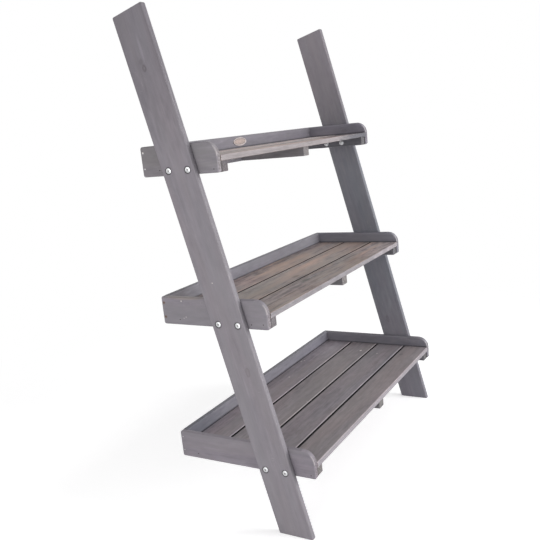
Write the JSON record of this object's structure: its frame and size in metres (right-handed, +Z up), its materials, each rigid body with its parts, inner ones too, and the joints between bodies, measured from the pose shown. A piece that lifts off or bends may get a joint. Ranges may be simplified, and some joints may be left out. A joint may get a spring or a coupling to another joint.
{
  "type": "plant ladder stand",
  "caption": "Leaning wooden plant ladder: two board rails carry slatted trays of falling depth, each with raised end boards and a back board, bolted at the sides.",
  "frame": {"origin": "middle of the floor area that the ladder covers, at floor level", "axes": "+X along the trays to the right as seen from the front, +Y from the front to the wall, +Z up"},
  "size_m": [0.8298, 0.3628, 1.1374],
  "materials": {
    "rail_wood": "planed softwood with a matt grey stain",
    "board_wood": "planed softwood with a matt grey stain",
    "slat_wood": "planed softwood with a thin brown-grey stain",
    "batten_wood": "sawn softwood with a matt grey stain",
    "zinc_steel": "zinc-plated steel, slightly dull"
  },
  "bodies": {
    "root": {"left_rail": "rail_wood", "right_rail": "rail_wood", "bottom_left_end": "board_wood", "bottom_right_end": "board_wood", "bottom_back_board": "board_wood", "bottom_left_batten": "batten_wood", "bottom_middle_batten": "batten_wood", "bottom_right_batten": "batten_wood", "bottom_slat_1": "slat_wood", "bottom_slat_2": "slat_wood", "bottom_slat_3": "slat_wood", "bottom_slat_4": "slat_wood", "middle_left_end": "board_wood", "middle_right_end": "board_wood", "middle_back_board": "board_wood", "middle_left_batten": "batten_wood", "middle_middle_batten": "batten_wood", "middle_right_batten": "batten_wood", "middle_slat_1": "slat_wood", "middle_slat_2": "slat_wood", "middle_slat_3": "slat_wood", "top_left_end": "board_wood", "top_right_end": "board_wood", "top_back_board": "board_wood", "top_left_batten": "batten_wood", "top_middle_batten": "batten_wood", "top_right_batten": "batten_wood", "top_slat_1": "slat_wood", "top_slat_2": "slat_wood", "bolts": "zinc_steel", "washers": "zinc_steel", "nuts": "zinc_steel"}
  },
  "joints": []
}
